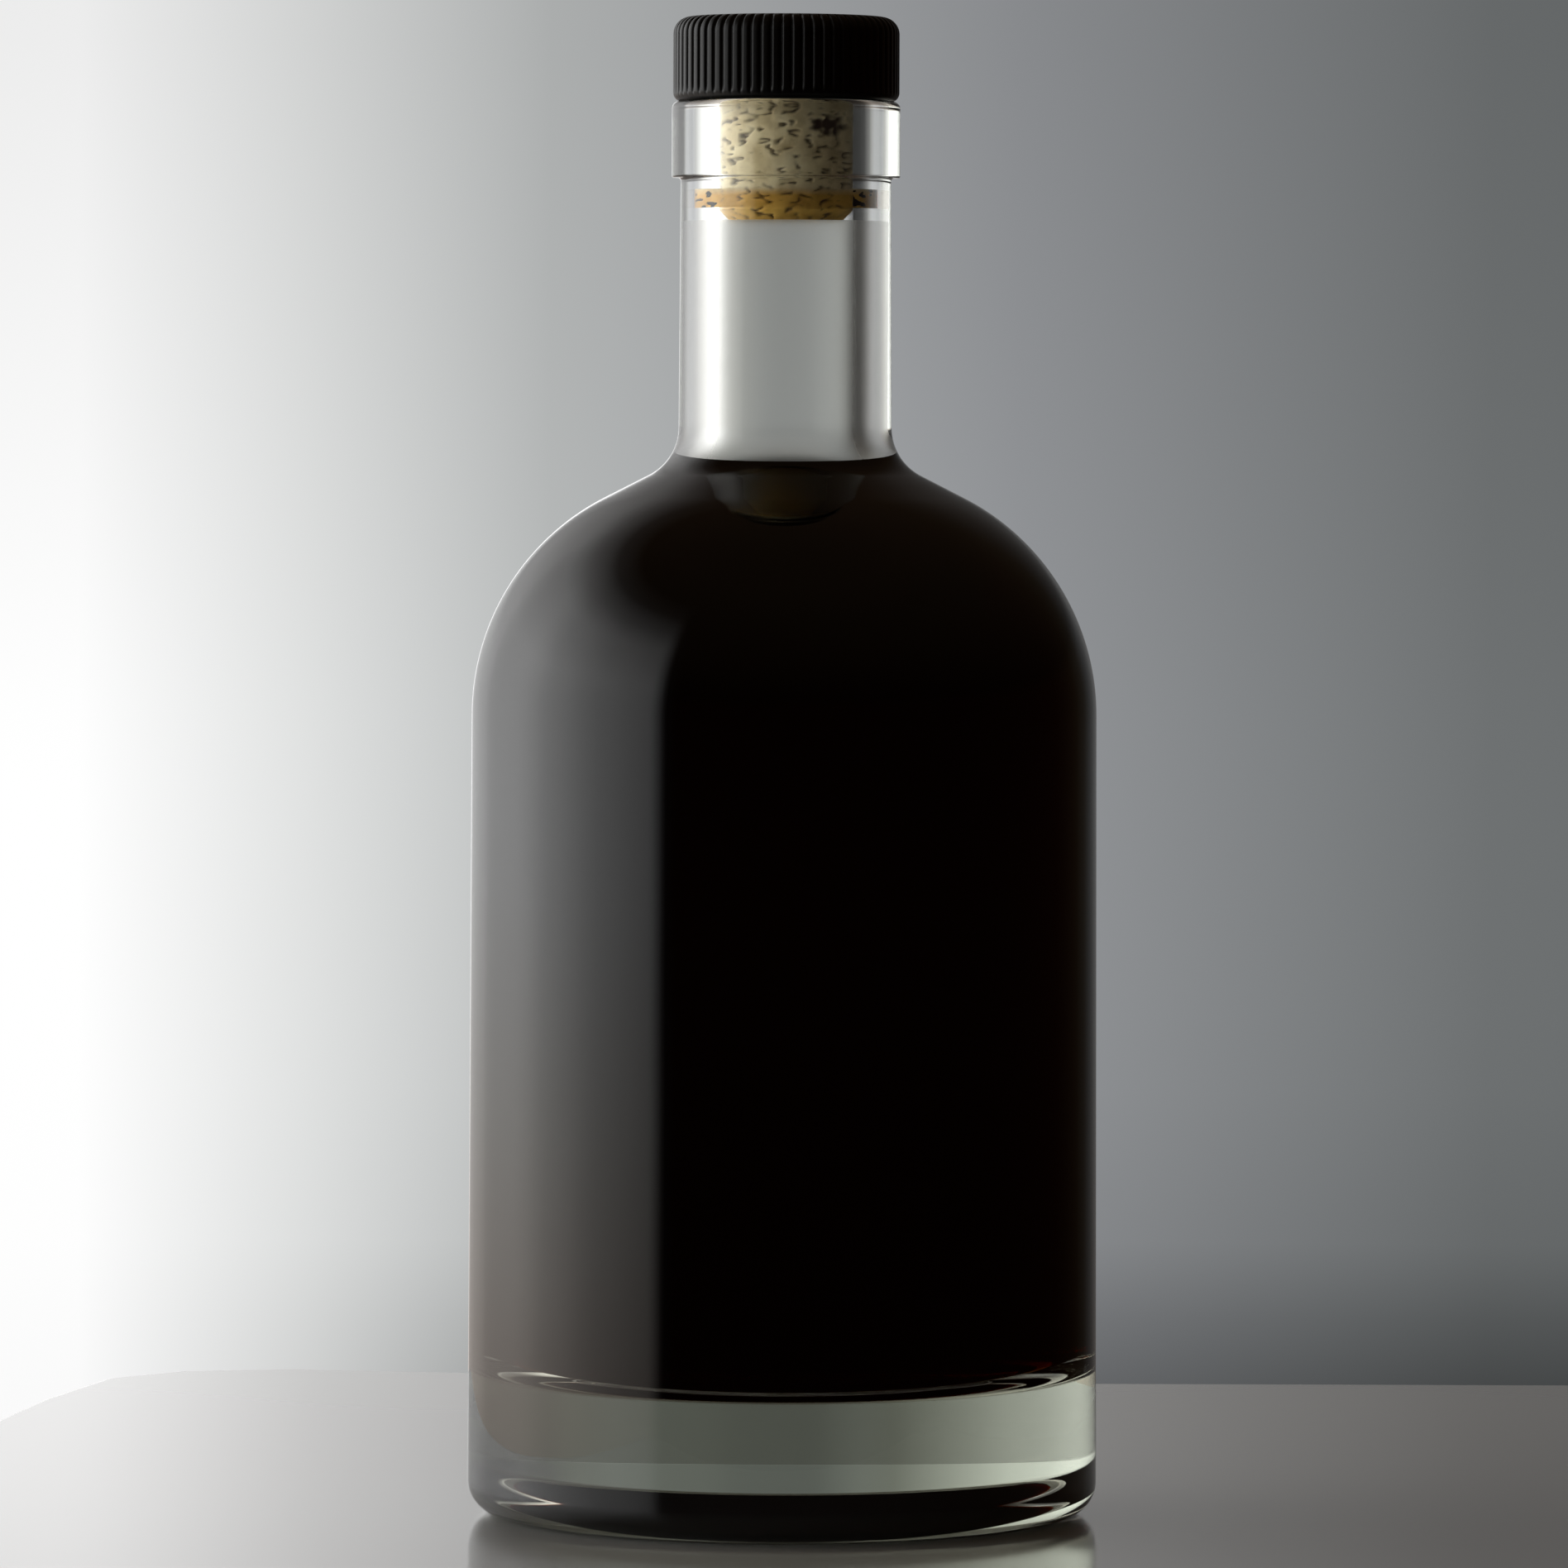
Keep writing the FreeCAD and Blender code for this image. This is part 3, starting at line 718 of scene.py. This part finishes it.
# tint of the backdrop by direction
BACKDROP_TINT = (
    (-40, 1), (-4.6, (0.95, 1.01, 1.02)), (-1.5, (0.96, 0.99, 1.04)),
    (2, (0.985, 1.012, 1.0)), (3.6, 1),
)
# how much of the backdrop the shade above the table's edge takes, by direction and by elevation
SHADE_TURN = (
    (-40, 0), (-4.6, 0.62), (-2, 0.52), (1.8, 0.34), (2.6, 0.2), (3.6, 0.06), (4.6, 0.03), (40, 0),
)
SHADE_HEIGHT = ((-0.1, 1.05), (-0.0945, 0.75), (-0.086, 0.27), (-0.0687, 0.03), (-0.05, 0))
WHITE = (1, 1, 1, 1)


def grey(level):
    return level if isinstance(level, tuple) else (level,) * 3


def turn_ramp(nodes, links, turn, levels, scale):
    """Ramp over the direction; levels above 1 are scaled down to fit."""
    stops = [
        ((angle + HALF_TURN) / (2 * HALF_TURN), tuple(tone / scale for tone in grey(level)))
        for angle, level in levels
    ]
    return colour_ramp(nodes, links, turn, stops)


def height_ramp(nodes, links, height, levels):
    """Ramp over the sine of the elevation, from -1 to 1."""
    share = math_node(nodes, links, "MULTIPLY_ADD", height, 0.5, 0.5)
    stops = [((sine + 1) / 2, grey(tint)) for sine, tint in levels]
    return colour_ramp(nodes, links, share, stops)


def make_world():
    """Soft window at the left and behind, wall, dim ceiling; the camera sees a backdrop instead."""
    world = bpy.data.worlds.new("studio")
    bpy.context.scene.world = world
    world.use_nodes = True
    nodes, links = world.node_tree.nodes, world.node_tree.links
    nodes.clear()
    path = nodes.new("ShaderNodeLightPath")
    place = nodes.new("ShaderNodeTexCoord")
    split = nodes.new("ShaderNodeSeparateXYZ")
    links.new(place.outputs["Generated"], split.inputs["Vector"])
    east, north, sine = split.outputs

    def calculate(operation, *values):
        return math_node(nodes, links, operation, *values)

    def mix(kind, factor, first, second):
        return mix_colours(nodes, links, kind, factor, first, second)

    def times(first, second):
        return mix("MULTIPLY", 1, first, second)

    def by_turn(levels, scale=1):
        return turn_ramp(nodes, links, turn, levels, scale)

    def by_height(levels, height=sine):
        return height_ramp(nodes, links, height, levels)

    azimuth = calculate("ARCTAN2", calculate("MULTIPLY", east, -1), north)
    turn = calculate("MULTIPLY_ADD", azimuth, 1 / (2 * math.pi), 0.5)
    middle = math.radians(WINDOW_MIDDLE)
    slant = calculate("MULTIPLY_ADD", azimuth, WINDOW_SLANT, -WINDOW_SLANT * middle)
    above = calculate("MINIMUM", calculate("MAXIMUM", sine, 0), SLANT_LIMIT)
    window_height = calculate("ADD", sine, calculate("MULTIPLY", slant, above))

    gain = mix("MIX", path.outputs["Diffuse Depth"], WHITE, (*grey(DULL_GAIN), 1))
    window = times(by_turn(WINDOW_LIGHT, BRIGHTEST), by_height(WINDOW_HEIGHT, window_height))
    window = times(window, gain)
    mirrored = times(by_turn(WALL_MIRRORED, BRIGHTEST), by_height(MIRRORED_HEIGHT))
    through = times(by_turn(WALL_THROUGH_GLASS, BRIGHTEST), by_height(THROUGH_HEIGHT))
    wall = mix("MIX", path.outputs["Transmission Depth"], mirrored, through)
    brown = tuple(tone / BRIGHTEST for tone in CEILING)
    ceiling = by_height(((CEILING_START, 0.0), (CEILING_FULL, brown)))
    lit = mix("ADD", 1, mix("ADD", 1, window, wall), ceiling)

    shade = times(by_turn(SHADE_TURN), by_height(SHADE_HEIGHT))
    seen = times(by_turn(BACKDROP, BRIGHTEST), by_turn(BACKDROP_TINT))
    seen = times(times(seen, by_height(BACKDROP_HEIGHT)), mix("SUBTRACT", 1, WHITE, shade))

    background = nodes.new("ShaderNodeBackground")
    links.new(mix("MIX", path.outputs["Is Camera Ray"], lit, seen), background.inputs["Color"])
    background.inputs["Strength"].default_value = BRIGHTEST
    output = nodes.new("ShaderNodeOutputWorld")
    links.new(background.outputs["Background"], output.inputs["Surface"])


# place in metres; pitch down and roll in degrees; sensor and lens in millimetres
CAMERA_PLACE = (0, -1.385, 0.159)
CAMERA_DOWN = 2.2
CAMERA_ROLL = 0.19
SENSOR_WIDTH = 36
LENS = 219.7
CLIP_END = 100


def add_camera():
    """Long lens a little above the middle of the bottle, looking slightly down."""
    data = bpy.data.cameras.new("camera")
    data.sensor_width = SENSOR_WIDTH
    data.lens = LENS
    data.clip_end = CLIP_END
    camera = bpy.data.objects.new("camera", data)
    bpy.context.scene.collection.objects.link(camera)
    camera.matrix_world = (
        Matrix.Translation(CAMERA_PLACE)
        @ Matrix.Rotation(math.radians(RIGHT_ANGLE - CAMERA_DOWN), 4, "X")
        @ Matrix.Rotation(math.radians(CAMERA_ROLL), 4, "Z")
    )
    bpy.context.scene.camera = camera


LIGHT_BOUNCES = 24
GLOSSY_BOUNCES = 12

scene = bpy.context.scene
scene.view_settings.view_transform = "Standard"
scene.cycles.max_bounces = LIGHT_BOUNCES
scene.cycles.transmission_bounces = LIGHT_BOUNCES
scene.cycles.glossy_bounces = GLOSSY_BOUNCES

make_world()
add_table()
add_bottle()
add_whisky()
add_film()
add_cork()
add_cap()
add_camera()
